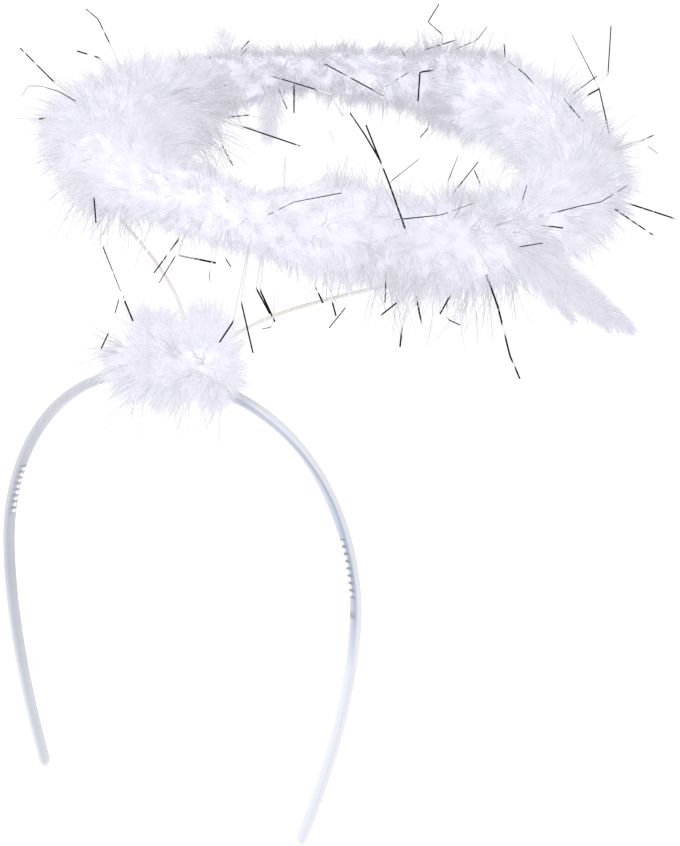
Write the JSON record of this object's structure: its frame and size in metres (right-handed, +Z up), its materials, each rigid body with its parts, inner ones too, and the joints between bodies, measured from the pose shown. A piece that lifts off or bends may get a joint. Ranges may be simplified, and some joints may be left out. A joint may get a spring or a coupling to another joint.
{
  "type": "halo headband",
  "caption": "White moulded headband with grip pegs, a feather tuft on its crown and two wire stems that hold a ring wound with a fluffy feather boa.",
  "frame": {"origin": "middle of the crown's inner face, where the headband sits on the head", "axes": "+Z up through the crown, +X to the right leg, -Y the front; the halo stands behind and above the crown"},
  "size_m": [0.2117, 0.1985, 0.2303],
  "materials": {
    "headband": "moulded white plastic, slightly see-through",
    "halo_wire": "cream thread-covered wire",
    "halo_boa": "soft down feather barbs",
    "crown_tuft": "soft down feather barbs"
  },
  "bodies": {
    "root": {"headband": "headband", "halo_wire": "halo_wire", "halo_boa": "halo_boa", "crown_tuft": "crown_tuft"}
  },
  "joints": []
}
